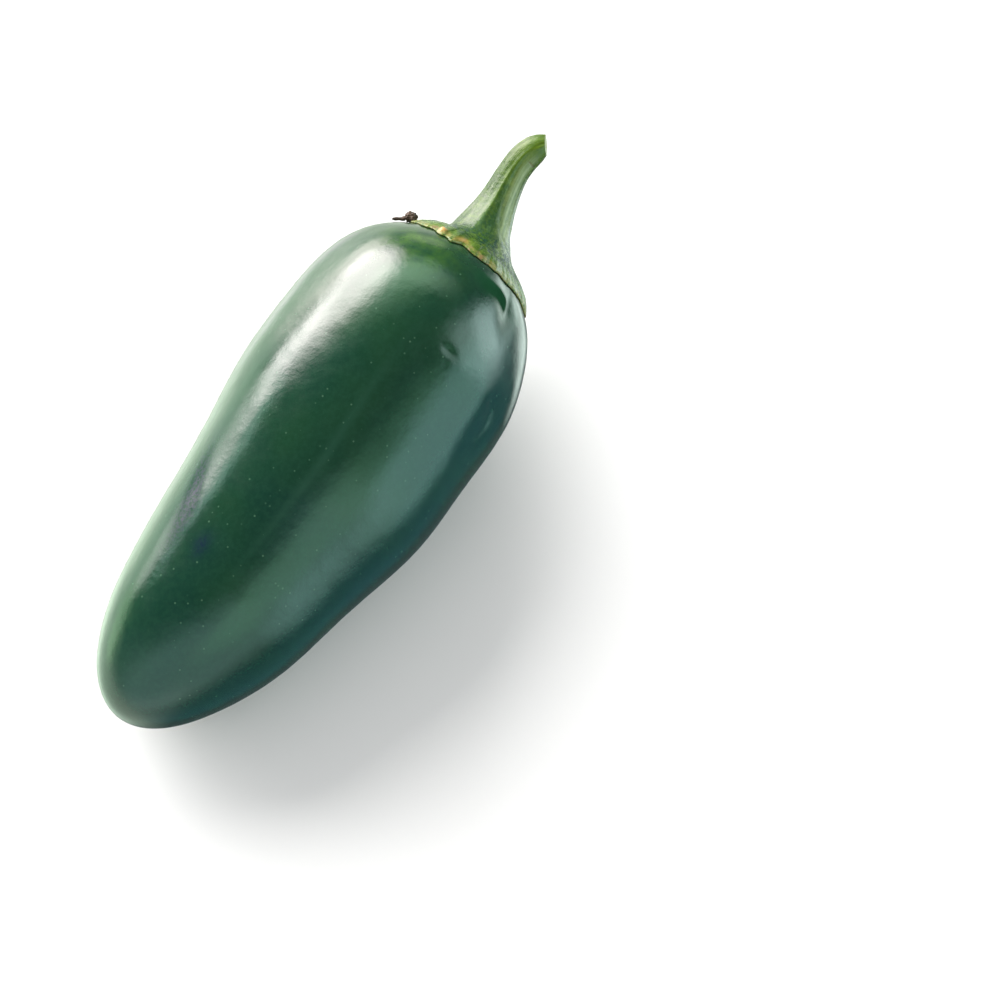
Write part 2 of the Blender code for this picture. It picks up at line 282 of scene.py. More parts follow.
# A painted highlight: a pale line along the stem, where a raised edge would catch the light; its angle by
# place
GLINT_RIDGE_LINE = ((0.0, math.radians(160)), (0.134, math.radians(154)), (0.30, math.radians(147)),
              (0.506, math.radians(141)), (0.68, math.radians(137)), (1.0, math.radians(132)))
GLINT_RIDGE_HALF_WIDTH = math.radians(23)
GLINT_RIDGE_RAMP = (0.9, 0.6)
RIM_RAMP = (0.87, 0.95)
# The brown edge of the longest tooth, a healed scar near the rim, and how strong each mark is
TOOTH_EDGE = (0.90, math.radians(191), 0.14, math.radians(4.0))
TOOTH_DRYNESS = 1.6
SCAR = (0.90, math.radians(92), 0.06, math.radians(4.0))
SCAR_STRENGTH = 0.5
WART_STRENGTH = 1.4
CRACK_DRYNESS = 0.8
# The lip turns browner over the lower part of its curl, and the calyx's underside is browner all over
LIP_BROWNING = 0.5
LIP_RAMP = (0.4, 0.7)
UNDERSIDE_BROWNING = 0.4
CUT_COLOUR_STARTS = 0.995
# The grain runs along the stem and calyx: coordinates on a tube, shortened along it to stretch the noise
STEM_GRAIN = 18 * MM
PLATE_GRAIN = 6 * MM
GRAIN_RADIUS = 3 * MM
GRAIN_SHORTENING = 0.12

# Noise of a material: wave length, detail, roughness, weight, and whether it lies along the grain.
Noise = namedtuple("Noise", "length detail roughness weight along_grain", defaults=(2.0, 0.5, 1.0, False))
# Patches made by noise: the noise, the values of it between which they grow, and their least and most
# share.
Patches = namedtuple("Patches", "noise low high least most", defaults=(0.0, 1.0))
# A colour laid over those before it: the mark that bounds it (None: all over), and its patches, whose
# shares are added, or an even share.
Layer = namedtuple("Layer", "colour mark patches share", defaults=(None, (), 1.0))

POD_COLOUR = (0.0032, 0.0285, 0.0175)
POD_LAYERS = (
    Layer((0.0058, 0.0370, 0.0150), None, (Patches(Noise(14 * MM), 0.35, 0.7),)),
    Layer((0.010, 0.050, 0.026), None, (Patches(Noise(0.7 * MM, 3.0, 0.6), 0.35, 0.7, 0.0, 0.35),)),
    # painted light: a lighter green on the pod's lit left side
    Layer((0.013, 0.058, 0.020), "lit_flank", (Patches(Noise(5 * MM, 3.0), 0.25, 0.7, 0.5, 0.95),)),
    Layer((0.042, 0.108, 0.012), "yellowed", (Patches(Noise(2.4 * MM, 4.0, 0.6), 0.30, 0.68, 0.15, 0.9),)),
    Layer((0.048, 0.050, 0.074), "blush", (Patches(Noise(0.4 * MM, 3.0, 0.7), 0.36, 0.64),)),
    # painted reflection: a lighter line along the pod's upper side
    Layer((0.014, 0.058, 0.034), "glint_streak"),
    Layer((0.0030, 0.0100, 0.0330), "bruise", (Patches(Noise(0.4 * MM, 3.0, 0.7), 0.36, 0.64, 0.4, 0.8),)),
    # painted shade: the crease's even green, whose shine is also taken away
    Layer((0.0115, 0.0570, 0.0250), "shaded_crease", (), 0.8),
)
# Small pale dots: where a dot starts to fade and ends, as shares of the spacing, and the random number
# between which dots grow from hidden to their full strength.
DOT_SPACING = 1.2 * MM
DOT_RADII = (0.06, 0.15)
DOT_CHOICE = (0.15, 0.85)
DOT_STRENGTH = 0.8
DOT_COLOUR = (0.050, 0.120, 0.070)
POD_ROUGHNESS = Patches(Noise(2.2 * MM, 3.0), 0.3, 0.7, 0.13, 0.20)
POD_IOR = 1.5
# The shine of clean skin and of the blush, and the strengths of a mark between which it dulls the skin
POD_SHINE = 0.5
BLUSH_SHINE = 0.11
BLUSH_DULLS = (0.05, 0.7)
# Painted shade: the crease loses its shine, so that it reads as a shaded recess
CREASE_SHADE_DULLS = (0.05, 0.95)
POD_BUMPS = (Noise(0.9 * MM), Noise(0.22 * MM, weight=0.25), Noise(0.5 * MM, 3.0, 0.6, 0.6))
POD_BUMP_HEIGHT = 0.034 * MM
POD_BUMP_STRENGTH = 0.5

# The stem's darker and paler green, and the noise that mixes them
STEM_COLOURS = ((0.028, 0.078, 0.006), (0.084, 0.150, 0.014))
STEM_STREAKS = (Noise(1.0 * MM, 3.0, weight=0.45, along_grain=True), Noise(0.7 * MM, 5.0, 0.65, 0.55))
STEM_STREAK_RANGE = (0.40, 0.58)
STEM_LAYERS = (
    # painted shade on the stem's side that faces the key lamp
    Layer((0.018, 0.053, 0.005), "lamp_side_shade", (Patches(Noise(0.9 * MM, 4.0, 0.6), 0.35, 0.62, 0.45),)),
    Layer((0.080, 0.136, 0.008), "young", (Patches(Noise(0.8 * MM, 3.0, along_grain=True), 0.3, 0.7, 0.5),)),
    Layer((0.020, 0.052, 0.012), None, (Patches(Noise(0.24 * MM, along_grain=True), 0.52, 0.72, 0.0, 0.5),)),
    # painted highlight: a pale line along the stem
    Layer((0.310, 0.390, 0.200), "ridge_glint",
          (Patches(Noise(0.5 * MM, 3.0, along_grain=True), 0.3, 0.7, 0.4, 0.9),)),
    Layer((0.012, 0.046, 0.016), "shade", (Patches(Noise(0.45 * MM, 4.0, 0.7), 0.42, 0.58, 0.55, 0.95),)),
    Layer((0.010, 0.040, 0.025), "foot", (Patches(Noise(0.45 * MM, 4.0, 0.7), 0.42, 0.58, 0.0, 0.45),
                                          Patches(Noise(1.1 * MM, 5.0, 0.65), 0.42, 0.60, 0.0, 0.75))),
    Layer((0.200, 0.205, 0.058), "rim", (Patches(Noise(0.7 * MM, 4.0, 0.7), 0.38, 0.60),)),
    Layer((0.200, 0.125, 0.060), "rim", (Patches(Noise(1.3 * MM, 4.0, 0.7), 0.54, 0.64, 0.0, 0.8),)),
    Layer((0.150, 0.070, 0.034), "dry", (Patches(Noise(0.6 * MM, 3.0), 0.25, 0.6, 0.4),)),
    Layer((0.620, 0.330, 0.120), "wart"),
    Layer((0.300, 0.330, 0.140), "cut", (Patches(Noise(0.5 * MM, 4.0, 0.7), 0.3, 0.7, 0.7),)),
)
STEM_MARKS = ("foot", "shade", "lamp_side_shade", "young", "ridge_glint", "rim", "dry", "wart", "cut")
STEM_ROUGHNESS = Patches(Noise(0.6 * MM, 4.0, 0.6), 0.35, 0.65, 0.14, 0.30)
STEM_SHINE = 0.24
STEM_BUMPS = (Noise(0.35 * MM, weight=0.22, along_grain=True), Noise(0.5 * MM, 4.0, 0.6))
STEM_BUMP_HEIGHT = 0.12 * MM
STEM_BUMP_STRENGTH = 0.5
FOOT_BUMP_STRENGTH = 0.5

WITHERED_COLOURS = ((0.016, 0.008, 0.006), (0.080, 0.038, 0.022))
WITHERED_MOTTLE = Patches(Noise(0.35 * MM, 4.0, 0.7), 0.35, 0.65)
WITHERED_ROUGHNESS = 0.55
WITHERED_BUMP_HEIGHT = 0.08 * MM
WITHERED_BUMP_STRENGTH = 0.6

FLOOR_SIZE = 12.0
FLOOR_COLOURS = ((0.86, 0.86, 0.86), (0.85, 0.85, 0.85))
FLOOR_TONE = Patches(Noise(40 * MM), 0.2, 0.8)

# Camera: what it looks at, from which side, from how far, and through what lens (in millimetres).
CAMERA_AIM = Vector((4.35 * MM, -21.54 * MM, 14.13 * MM))
CAMERA_ELEVATION = math.radians(71.0)
CAMERA_TURN = math.radians(35.1)
CAMERA_DISTANCE = 543.75 * MM
CAMERA_LENS = 150.0
CAMERA_SENSOR = 36.0

# What the glossy skin reflects, by direction: azimuth, elevation, half-width, half-height in degrees,
# the softness of its edge as a share of its size, and its radiance in red, green and blue.
GLOWS = (
    (64, 19, 19, 22, 0.45, (16.8, 15.6, 15.2)),
    (85, 12, 8, 9, 0.50, (9.0, 8.6, 8.4)),
    (63, -9, 14, 13, 0.50, (5.8, 5.4, 5.0)),
    (94, 5, 8, 12, 0.50, (4.0, 4.3, 4.0)),
    (97, 21, 6, 6, 0.50, (1.6, 2.7, 2.3)),
    (88, -14, 9, 9, 0.50, (0.7, 0.9, 0.8)),
    (58, 52, 10, 7, 0.50, (0.6, 0.8, 0.7)),
    (62, -42, 9, 9, 0.50, (0.7, 0.5, 0.7)),
    (112, -8, 14, 13, 0.50, (1.1, 1.9, 1.0)),
    (44, 44, 26, 20, 0.50, (0.9, 1.5, 0.9)),
    (28, -10, 11, 9, 0.50, (1.3, 1.6, 0.9)),
    (-50, 6, 15, 34, 0.35, (2.0, 2.8, 2.7)),
    (-42, -2, 11, 20, 0.40, (2.3, 3.1, 3.0)),
    (-21, -46, 13, 18, 0.40, (2.1, 2.5, 2.3)),
    (-22, -25, 11, 11, 0.50, (1.9, 2.4, 2.2)),
    (-78, 4, 25, 27, 0.35, (1.15, 2.2, 2.1)),
    (-110, 38, 26, 18, 0.40, (0.3, 0.8, 0.4)),
    (-105, -40, 50, 24, 0.40, (0.02, 0.22, 0.30)),
    (-150, 22, 62, 36, 0.30, (0.95, 1.6, 1.5)),
    (26, 38, 30, 13, 0.50, (2.0, 2.9, 2.2)),
    (138, -40, 60, 34, 0.35, (1.6, 2.0, 1.6)),
    (55, -44, 35, 26, 0.35, (0.9, 0.95, 0.8)),
)
DIM_LIGHT = (0.11, 0.14, 0.15)
# A glow fades out towards the directions at right angles to it.
GLOW_FRONT = (0.0, 0.15)
BACKDROP = (1.0, 1.0, 1.0)
# Soft lamps that light what isn't glossy: azimuth, elevation, spread in degrees, strength and colour.
LAMPS = (
    ("key", 68, 18, 75, 8.6, (1.0, 0.985, 0.96)),
    ("fill", -70, 40, 70, 1.2, (0.97, 1.0, 1.0)),
    ("top", 60, 84, 100, 1.5, (1.0, 1.0, 1.0)),
)


def through(stations, place):
    """The values at place of the smooth (natural cubic) curve through (place, value) stations."""
    x, y = np.array(stations, float).T
    place = np.asarray(place, float)
    step = np.diff(x)
    rows = np.eye(len(x))
    right = np.zeros(len(x))
    for i in range(1, len(x) - 1):
        rows[i, i - 1:i + 2] = step[i - 1], 2 * (step[i - 1] + step[i]), step[i]
        right[i] = 6 * ((y[i + 1] - y[i]) / step[i] - (y[i] - y[i - 1]) / step[i - 1])
    bend = np.linalg.solve(rows, right)
    i = np.clip(np.searchsorted(x, place, side="right") - 1, 0, len(x) - 2)
    after, before, h = place - x[i], x[i + 1] - place, step[i]
    return (
        (bend[i] * before**3 + bend[i + 1] * after**3) / (6 * h)
        + (y[i] / h - bend[i] * h / 6) * before
        + (y[i + 1] / h - bend[i + 1] * h / 6) * after
    )


def within(stations, place):
    """The curve's values where place is kept between its first and last station."""
    return through(stations, np.clip(place, stations[0][0], stations[-1][0]))


def along_line(line, share):
    """Each column of a line's stations, at a share of the way from the first station to the last."""
    numbers = np.linspace(0, 1, len(line))
    return np.array([through(list(zip(numbers, column)), share) for column in zip(*line)])


def turned_from(angle, other):
    """The turn from one angle to another, between minus and plus half a turn."""
    return (angle - other + math.pi) % (2 * math.pi) - math.pi


def bump(distance, half_span):
    return np.exp(-((distance / half_span) ** 2))


def ramp(value, start, end):
    """A smooth step from 0 where the value is start to 1 where it is end."""
    share = np.clip((value - start) / (end - start), 0, 1)
    return share * share * (3 - 2 * share)


def spot(place, angle, at, side, along, around):
    """From 0 to 1: a soft spot at a place and angle, with its half-spans along and round."""
    return bump(place - at, along) * bump(turned_from(angle, side), around)


def outward(angle):
    """Unit vectors that point away from the pod's axis."""
    return np.stack((np.zeros_like(angle), np.cos(angle), np.sin(angle)), axis=-1)


def smooth_noise(points, length, seed):
    """Smooth noise between about -1 and 1 at each point, with waves of that length."""
    shift = Vector([step * seed for step in NOISE_SHIFT])
    flat = points.reshape(-1, 3) / length
    values = [noise.noise(Vector(point) + shift) for point in flat]
    return np.array(values).reshape(points.shape[:-1])


def pod_skin(place, angle):
    """Points of the skin, where place runs from the tip (0) to the shoulder's top (1)."""
    place, angle = np.broadcast_arrays(np.asarray(place, float), np.asarray(angle, float))
    roundness = np.sqrt(np.clip(place * (1 - place), 0, None))
    radius = POD_LENGTH * roundness * through(FULLNESS, place)
    radius = radius * (1 + through(LOBE_HEIGHT, place) * np.cos(LOBES * (angle - LOBE_PHASE)))
    for at, side, depth, along, around in DENTS:
        radius = radius - depth * spot(place, angle, at, side, along, around)
    middle = through(SIDE_BEND, place)
    along = POD_LENGTH * place - SEAT_DEPTH * ramp(place, *SEAT)
    return np.stack((along, middle + radius * np.cos(angle), radius * np.sin(angle)), axis=-1)


def shoulder(reach, angle):
    """Skin points of the shoulder by reach, which is 0 at its top and grows towards the pod's side."""
    reach = np.asarray(reach, float)
    return pod_skin((1 + np.sqrt(1 - reach**2)) / 2, angle)


def shoulder_out(reach, angle):
    """Unit vectors that point out of the shoulder's skin."""
    step = 0.01
    reach, angle = np.broadcast_arrays(np.asarray(reach, float), np.asarray(angle, float))
    run = shoulder(reach + step, angle) - shoulder(np.abs(reach - step), angle + math.pi * (reach < step))
    away = outward(angle)
    rise = (run * away).sum(axis=-1, keepdims=True)
    out = rise * np.array((1.0, 0.0, 0.0)) - run[..., :1] * away
    return out / np.linalg.norm(out, axis=-1, keepdims=True)


def rim_reach(angle):
    """How far down the shoulder the calyx's ragged rim comes, at each angle."""
    share = np.ones_like(angle)
    for side, more, half_width in TEETH + NICKS:
        share = share + more * bump(turned_from(angle, side), half_width)
    for waves, height, phase in RIM_WAVES:
        share = share + height * np.sin(waves * angle + phase)
    turn = np.stack((np.cos(angle), np.sin(angle), np.zeros_like(angle)), axis=-1)
    for waves, height in RAGGED:
        share = share + height * smooth_noise(turn, 1 / waves, RIM_SEED)
    return CALYX_REACH * share


def ribs(angle, twist=0.0):
    """From 0 to 1: the ribs that run up from the teeth into the stem."""
    return sum(bump(turned_from(angle, side + twist), RIB_HALF_WIDTH) for side, _, _ in TEETH)


def over_shoulder(share, height, angle):
    """Points at a height over the shoulder, at a share of the way from its top to the calyx's rim."""
    reach = share * rim_reach(angle)
    return shoulder(reach, angle) + height[..., None] * shoulder_out(reach, angle)


def fibres(share, angle):
    """Between about -1 and 1: fine ridges that run along the stem and drift round it."""
    waves = []
    for count in FIBRE_COUNTS:
        drift = FIBRE_DRIFT * np.sin(FIBRE_DRIFT_TURN * share + count)
        waves.append(np.sin(count * angle + drift + count))
    return sum(waves) / len(waves)


def stem_ring(share, angle):
    """One ring of the stem, at a share of the way from its foot to the cut."""
    near = 0.01
    past, left, up, radius = along_line(STEM_LINE, share)
    forward = Vector((along_line(STEM_LINE, share + near) - along_line(STEM_LINE, share - near))[:3])
    turn = max(0.0, (share - CUT_TURN_STARTS) / (1 - CUT_TURN_STARTS)) ** 2
    forward = forward.normalized().lerp(CUT_FACES, turn).normalized()
    side = (Vector((0, 1, 0)) - forward * forward.y).normalized()
    upward = forward.cross(side)
    rib = STEM_RIB_SHARE * ribs(angle, STEM_RIB_TWIST * share) * min(1.0, share / STEM_RIB_RISE)
    out = np.outer(np.cos(angle), side) + np.outer(np.sin(angle), upward)
    groove = bump(turned_from(angle, through(GROOVE_LINE, share)), GROOVE_HALF_WIDTH)
    relief = FIBRE_HEIGHT * fibres(share, angle) * ramp(share, *FIBRE_RAMP)
    relief = relief - GROOVE_DEPTH * groove * ramp(share, *GROOVE_RAMP)
    relief = relief - CRACK_DEPTH * spot(share, angle, *CRACK)
    points = np.array((POD_LENGTH + past, left, up)) + (radius * (1 + rib) + relief)[:, None] * out
    lumps = LUMP_HEIGHT * smooth_noise(points, LUMP_LENGTH, LUMP_SEED)
    return points + (lumps * (1 - LUMP_LOSS * ramp(share, *LUMP_RAMP)))[:, None] * out


def plate_ring(share, angle):
    """One ring of the calyx's outside, at a share of the way from the shoulder's top to its rim."""
    out = (share - PLATE_STARTS) / (1 - PLATE_STARTS)
    thickness = PLATE_THICKNESS + (THIN_RIM - PLATE_THICKNESS) * out**RIM_THINNING
    thickness = thickness + RIB_HEIGHT * ribs(angle) * (1 - out) + WART_HEIGHT * spot(share, angle, *WART)
    points = over_shoulder(share, CALYX_GAP + (RIM_GAP - CALYX_GAP) * out + thickness, angle)
    lumps = LUMP_HEIGHT * smooth_noise(points, LUMP_LENGTH, LUMP_SEED)
    return points + lumps[:, None] * shoulder_out(share * rim_reach(angle), angle)


REST_TURN = Euler((0, -REST_TILT, 0)).to_matrix()


def find_shift():
    """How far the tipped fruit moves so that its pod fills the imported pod's box."""
    angle = np.linspace(0, 2 * math.pi, POD_SEGMENTS, endpoint=False)
    place = (1 + np.cos(np.linspace(0, math.pi, POD_RINGS)))[:, None] / 2
    points = (pod_skin(place, angle) @ np.array(REST_TURN).T).reshape(-1, 3)
    low, high = (np.array(corner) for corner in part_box("pod"))
    middle = (low + high - points.min(axis=0) - points.max(axis=0)) / 2
    return np.array((middle[0], middle[1], high[2] - points[:, 2].max()))


SHIFT = find_shift()


def to_row(points):
    """Moves points from the fruit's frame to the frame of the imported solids."""
    return points @ np.array(REST_TURN).T + SHIFT


def rested(points):
    """Keeps points above the floor, with a soft turn into the small flat that the pod rests on."""
    height = points[..., 2]
    points[..., 2] = (height + np.sqrt(height**2 + FLAT_SOFTNESS**2)) / 2
    return points


def add_object(name, data):
    """An object with that data, linked to the scene."""
    made = bpy.data.objects.new(name, data)
    bpy.context.scene.collection.objects.link(made)
    return made


def make_piece(name, rings, ends, values, look):
    """A closed skin through rings from one end point to the other, with named values at its points."""
    count, around = len(rings), len(rings[0])
    points = rested(to_row(np.concatenate((np.concatenate(rings), np.array(ends)))))
    first, last = count * around, count * around + 1
    faces = []
    for j in range(around):
        k = (j + 1) % around
        faces.append((first, j, k))
        faces.append((last, (count - 1) * around + k, (count - 1) * around + j))
        for i in range(count - 1):
            faces.append((i * around + j, (i + 1) * around + j, (i + 1) * around + k, i * around + k))
    mesh = bpy.data.meshes.new(name)
    mesh.from_pydata(points.tolist(), [], faces)
    mesh.shade_smooth()
    for title, numbers in values.items():
        kind, field = ("FLOAT_VECTOR", "vector") if numbers.ndim == 2 else ("FLOAT", "value")
        layer = mesh.attributes.new(title, kind, "POINT")
        layer.data.foreach_set(field, numbers.astype(np.float32).ravel())
    mesh.materials.append(look)
    return add_object(name, mesh)


def add_node(tree, kind, settings=None, inputs=None):
    """A node with its settings, and its inputs given as numbers, colours or other nodes' outputs."""
    made = tree.nodes.new(kind)
    for title, value in (settings or {}).items():
        setattr(made, title, value)
    for title, value in (inputs or {}).items():
        socket = made.inputs[title]
        if isinstance(value, bpy.types.NodeSocket):
            tree.links.new(value, socket)
        elif socket.type == "RGBA" and len(value) == 3:
            socket.default_value = (*value, 1.0)
        else:
            socket.default_value = value
    return made


def mixed(tree, share, one, other):
    """The colour between two colours at a share."""
    made = add_node(tree, "ShaderNodeMix", {"data_type": "RGBA"}, {0: share, 6: one, 7: other})
    return made.outputs[2]


def ranged(tree, value, low, high, to_low=0.0, to_high=1.0):
    """A smooth step from to_low where the value is low to to_high where it is high."""
    made = add_node(tree, "ShaderNodeMapRange", {"interpolation_type": "SMOOTHSTEP"}, {
        "Value": value, "From Min": low, "From Max": high, "To Min": to_low, "To Max": to_high})
    return made.outputs["Result"]


def times(tree, one, other):
    return add_node(tree, "ShaderNodeMath", {"operation": "MULTIPLY"}, {0: one, 1: other}).outputs[0]


def added(tree, values):
    """The sum of the values."""
    total = values[0]
    for value in values[1:]:
        total = add_node(tree, "ShaderNodeMath", {"operation": "ADD"}, {0: total, 1: value}).outputs[0]
    return total


def value_of(tree, title):
    """The named value of the mesh's points."""
    return add_node(tree, "ShaderNodeAttribute", {"attribute_name": title}).outputs["Fac"]


def noise_of(tree, places, kind):
    """One kind of noise, between 0 and 1, at the object's coordinates or along the grain."""
    made = add_node(tree, "ShaderNodeTexNoise", None, {
        "Vector": places[kind.along_grain], "Scale": 1.0 / kind.length,
        "Detail": kind.detail, "Roughness": kind.roughness})
    return made.outputs["Fac"]


def weighted(tree, places, noises):
    """The sum of the noises by their weights."""
    return added(tree, [times(tree, noise_of(tree, places, kind), kind.weight) for kind in noises])


def patchy(tree, places, patches):
    """The share that the patches have at each point."""
    value = noise_of(tree, places, patches.noise)
    return ranged(tree, value, patches.low, patches.high, patches.least, patches.most)


def layered(tree, places, colour, layers):
    """The colour with all the layers laid over it."""
    for layer in layers:
        share = layer.share
        if layer.patches:
            share = added(tree, [patchy(tree, places, patches) for patches in layer.patches])
        if layer.mark:
            share = times(tree, value_of(tree, layer.mark), share)
        colour = mixed(tree, share, colour, layer.colour)
    return colour


def new_look(name):
    """A material, its nodes, its shader, and the coordinates where its noise may lie: the object's own."""
    look = bpy.data.materials.new(name)
    look.use_nodes = True
    tree = look.node_tree
    where = add_node(tree, "ShaderNodeTexCoord").outputs["Object"]
    return look, tree, tree.nodes["Principled BSDF"], (where,)


def add_bump(tree, shader, height, distance, strength):
    relief = add_node(tree, "ShaderNodeBump", None, {
        "Strength": strength, "Distance": distance, "Height": height})
    tree.links.new(relief.outputs["Normal"], shader.inputs["Normal"])


def with_dots(tree, places, colour):
    """The colour with small pale dots on it, some of them hidden."""
    dots = add_node(tree, "ShaderNodeTexVoronoi", None, {"Vector": places[0], "Scale": 1.0 / DOT_SPACING})
    dot = ranged(tree, dots.outputs["Distance"], *DOT_RADII, 1.0, 0.0)
    choice = add_node(tree, "ShaderNodeSeparateColor", None, {"Color": dots.outputs["Color"]}).outputs[0]
    shown = ranged(tree, choice, *DOT_CHOICE, 0.0, DOT_STRENGTH)
    return mixed(tree, times(tree, dot, shown), colour, DOT_COLOUR)


def pod_look():
    look, tree, shader, places = new_look("pod_skin")
    colour = with_dots(tree, places, layered(tree, places, POD_COLOUR, POD_LAYERS))
    tree.links.new(colour, shader.inputs["Base Color"])
    tree.links.new(patchy(tree, places, POD_ROUGHNESS), shader.inputs["Roughness"])
    # The crease's painted shade takes the shine away
    clean = ranged(tree, value_of(tree, "shaded_crease"), *CREASE_SHADE_DULLS, 1.0, 0.0)
    shine = ranged(tree, value_of(tree, "blush"), *BLUSH_DULLS, POD_SHINE, BLUSH_SHINE)
    tree.links.new(times(tree, shine, clean), shader.inputs["Specular IOR Level"])
    shader.inputs["IOR"].default_value = POD_IOR
    add_bump(tree, shader, weighted(tree, places, POD_BUMPS), POD_BUMP_HEIGHT, POD_BUMP_STRENGTH)
    return look


def stem_look():
    look, tree, shader, places = new_look("stem_green")
    places += (add_node(tree, "ShaderNodeAttribute", {"attribute_name": "grain"}).outputs["Vector"],)
    streaks = ranged(tree, weighted(tree, places, STEM_STREAKS), *STEM_STREAK_RANGE)
    colour = layered(tree, places, mixed(tree, streaks, *STEM_COLOURS), STEM_LAYERS)
    tree.links.new(colour, shader.inputs["Base Color"])
    tree.links.new(patchy(tree, places, STEM_ROUGHNESS), shader.inputs["Roughness"])
    shader.inputs["Specular IOR Level"].default_value = STEM_SHINE
    foot = times(tree, value_of(tree, "foot"), FOOT_BUMP_STRENGTH)
    strength = added(tree, [foot, STEM_BUMP_STRENGTH])
    add_bump(tree, shader, weighted(tree, places, STEM_BUMPS), STEM_BUMP_HEIGHT, strength)
    return look


def withered_look():
    look, tree, shader, places = new_look("withered_brown")
    mottle = patchy(tree, places, WITHERED_MOTTLE)
    tree.links.new(mixed(tree, mottle, *WITHERED_COLOURS), shader.inputs["Base Color"])
    shader.inputs["Roughness"].default_value = WITHERED_ROUGHNESS
    add_bump(tree, shader, mottle, WITHERED_BUMP_HEIGHT, WITHERED_BUMP_STRENGTH)
    return look


def floor_look():
    look, tree, shader, places = new_look("floor_white")
    colour = mixed(tree, patchy(tree, places, FLOOR_TONE), *FLOOR_COLOURS)
    tree.links.new(colour, shader.inputs["Base Color"])
    shader.inputs["Roughness"].default_value = 1.0
    shader.inputs["Specular IOR Level"].default_value = 0.0
    return look


def pod_relief(skin, place, angle):
    """The height of the skin's finer relief at its points."""
    relief = sum(height * smooth_noise(skin, length, WAVE_SEED) for length, height in WAVES)
    relief = relief - HOLLOW_DEPTH * spot(place, angle, *HOLLOW)
    past_line = turned_from(angle, through(FURROW_LINE, place))
    furrow = bump(past_line, np.where(past_line < 0, *FURROW_SPANS))
    relief = relief - FURROW_DEPTH * furrow * ramp(place, *FURROW_RAMP)
    relief = relief + SWELLING_HEIGHT * spot(place, angle, *SWELLING)
    for at, side, depth, along, around in PITS:
        relief = relief - depth * spot(place, angle, at, side, along, around)
    return relief * ramp(place, *TIP_RAMP) * ramp(place, *SHOULDER_RAMP)


def blush_mark(place, angle):
    """From 0 to 1: the pale blush on the pod's left, along a bent line."""
    at, half_length, half_width = BLUSH
    return bump(turned_from(angle, through(BLUSH_LINE, place)), half_width) * bump(place - at, half_length)


def shaded_crease_mark(place, angle):
    """From 0 to 1: the painted shade of the crease, a dull wedge between the calyx's rim and the furrow."""
    share = ramp(within(CREASE_RIGHT, place) - angle, 0, CREASE_RIGHT_FADE)
    share = share * ramp(angle, *CREASE_LEFT_RAMP)
    share = share * ramp(within(CREASE_TOP, angle) - place, 0, CREASE_TOP_FADE)
    return share * ramp(place - within(CREASE_BOTTOM, angle), 0, CREASE_BOTTOM_FADE)


def make_pod():
    angle = np.linspace(0, 2 * math.pi, POD_SEGMENTS, endpoint=False)
    place = (1 + np.cos(np.linspace(0, math.pi, POD_RINGS + 2)[1:-1])) / 2
    place, angle = np.meshgrid(place, angle, indexing="ij")
    skin = pod_skin(place, angle)
    skin = skin + pod_relief(skin, place, angle)[..., None] * outward(angle)
    values = {
        "yellowed": spot(place, angle, *YELLOWED),
        "blush": blush_mark(place, angle),
        "glint_streak": GLINT_STREAK_STRENGTH * spot(place, angle, *GLINT_STREAK),
        "bruise": spot(place, angle, *BRUISE),
        "shaded_crease": shaded_crease_mark(place, angle),
        "lit_flank": bump(turned_from(angle, LIT_FLANK), LIT_FLANK_HALF_WIDTH),
    }
    values = {title: np.append(numbers.ravel(), (0.0, 0.0)) for title, numbers in values.items()}
    ends = pod_skin(1.0, 0.0), pod_skin(0.0, 0.0)
    return make_piece("pod_skin", list(skin), ends, values, pod_look())


def stem_marks(share, angle):
    """The marks of colour on the stem, at a share of the way from its foot to the cut."""
    ridge_glint = bump(turned_from(angle, through(GLINT_RIDGE_LINE, share)), GLINT_RIDGE_HALF_WIDTH)
    return {
        "cut": float(share > CUT_COLOUR_STARTS),
        "foot": ramp(share, *STEM_FOOT_RAMP),
        "shade": spot(share, angle, *SHADE),
        "lamp_side_shade": bump(turned_from(angle, LAMP_SIDE), LAMP_SIDE_HALF_WIDTH),
        "ridge_glint": ridge_glint * ramp(share, *GLINT_RIDGE_RAMP),
        "young": ramp(share, *YOUNG_RAMP),
        "dry": CRACK_DRYNESS * spot(share, angle, *CRACK),
    }


def plate_marks(share, angle):
    """The marks of colour on the calyx, at a share of the way from the shoulder's top to its rim."""
    wart = WART_STRENGTH * spot(share, angle, *WART) + SCAR_STRENGTH * spot(share, angle, *SCAR)
    return {
        "foot": ramp(share, *PLATE_FOOT_RAMP),
        "rim": ramp(share, *RIM_RAMP),
        "dry": np.clip(TOOTH_DRYNESS * spot(share, angle, *TOOTH_EDGE), 0, 1),
        "wart": np.clip(wart, 0, 1),
    }


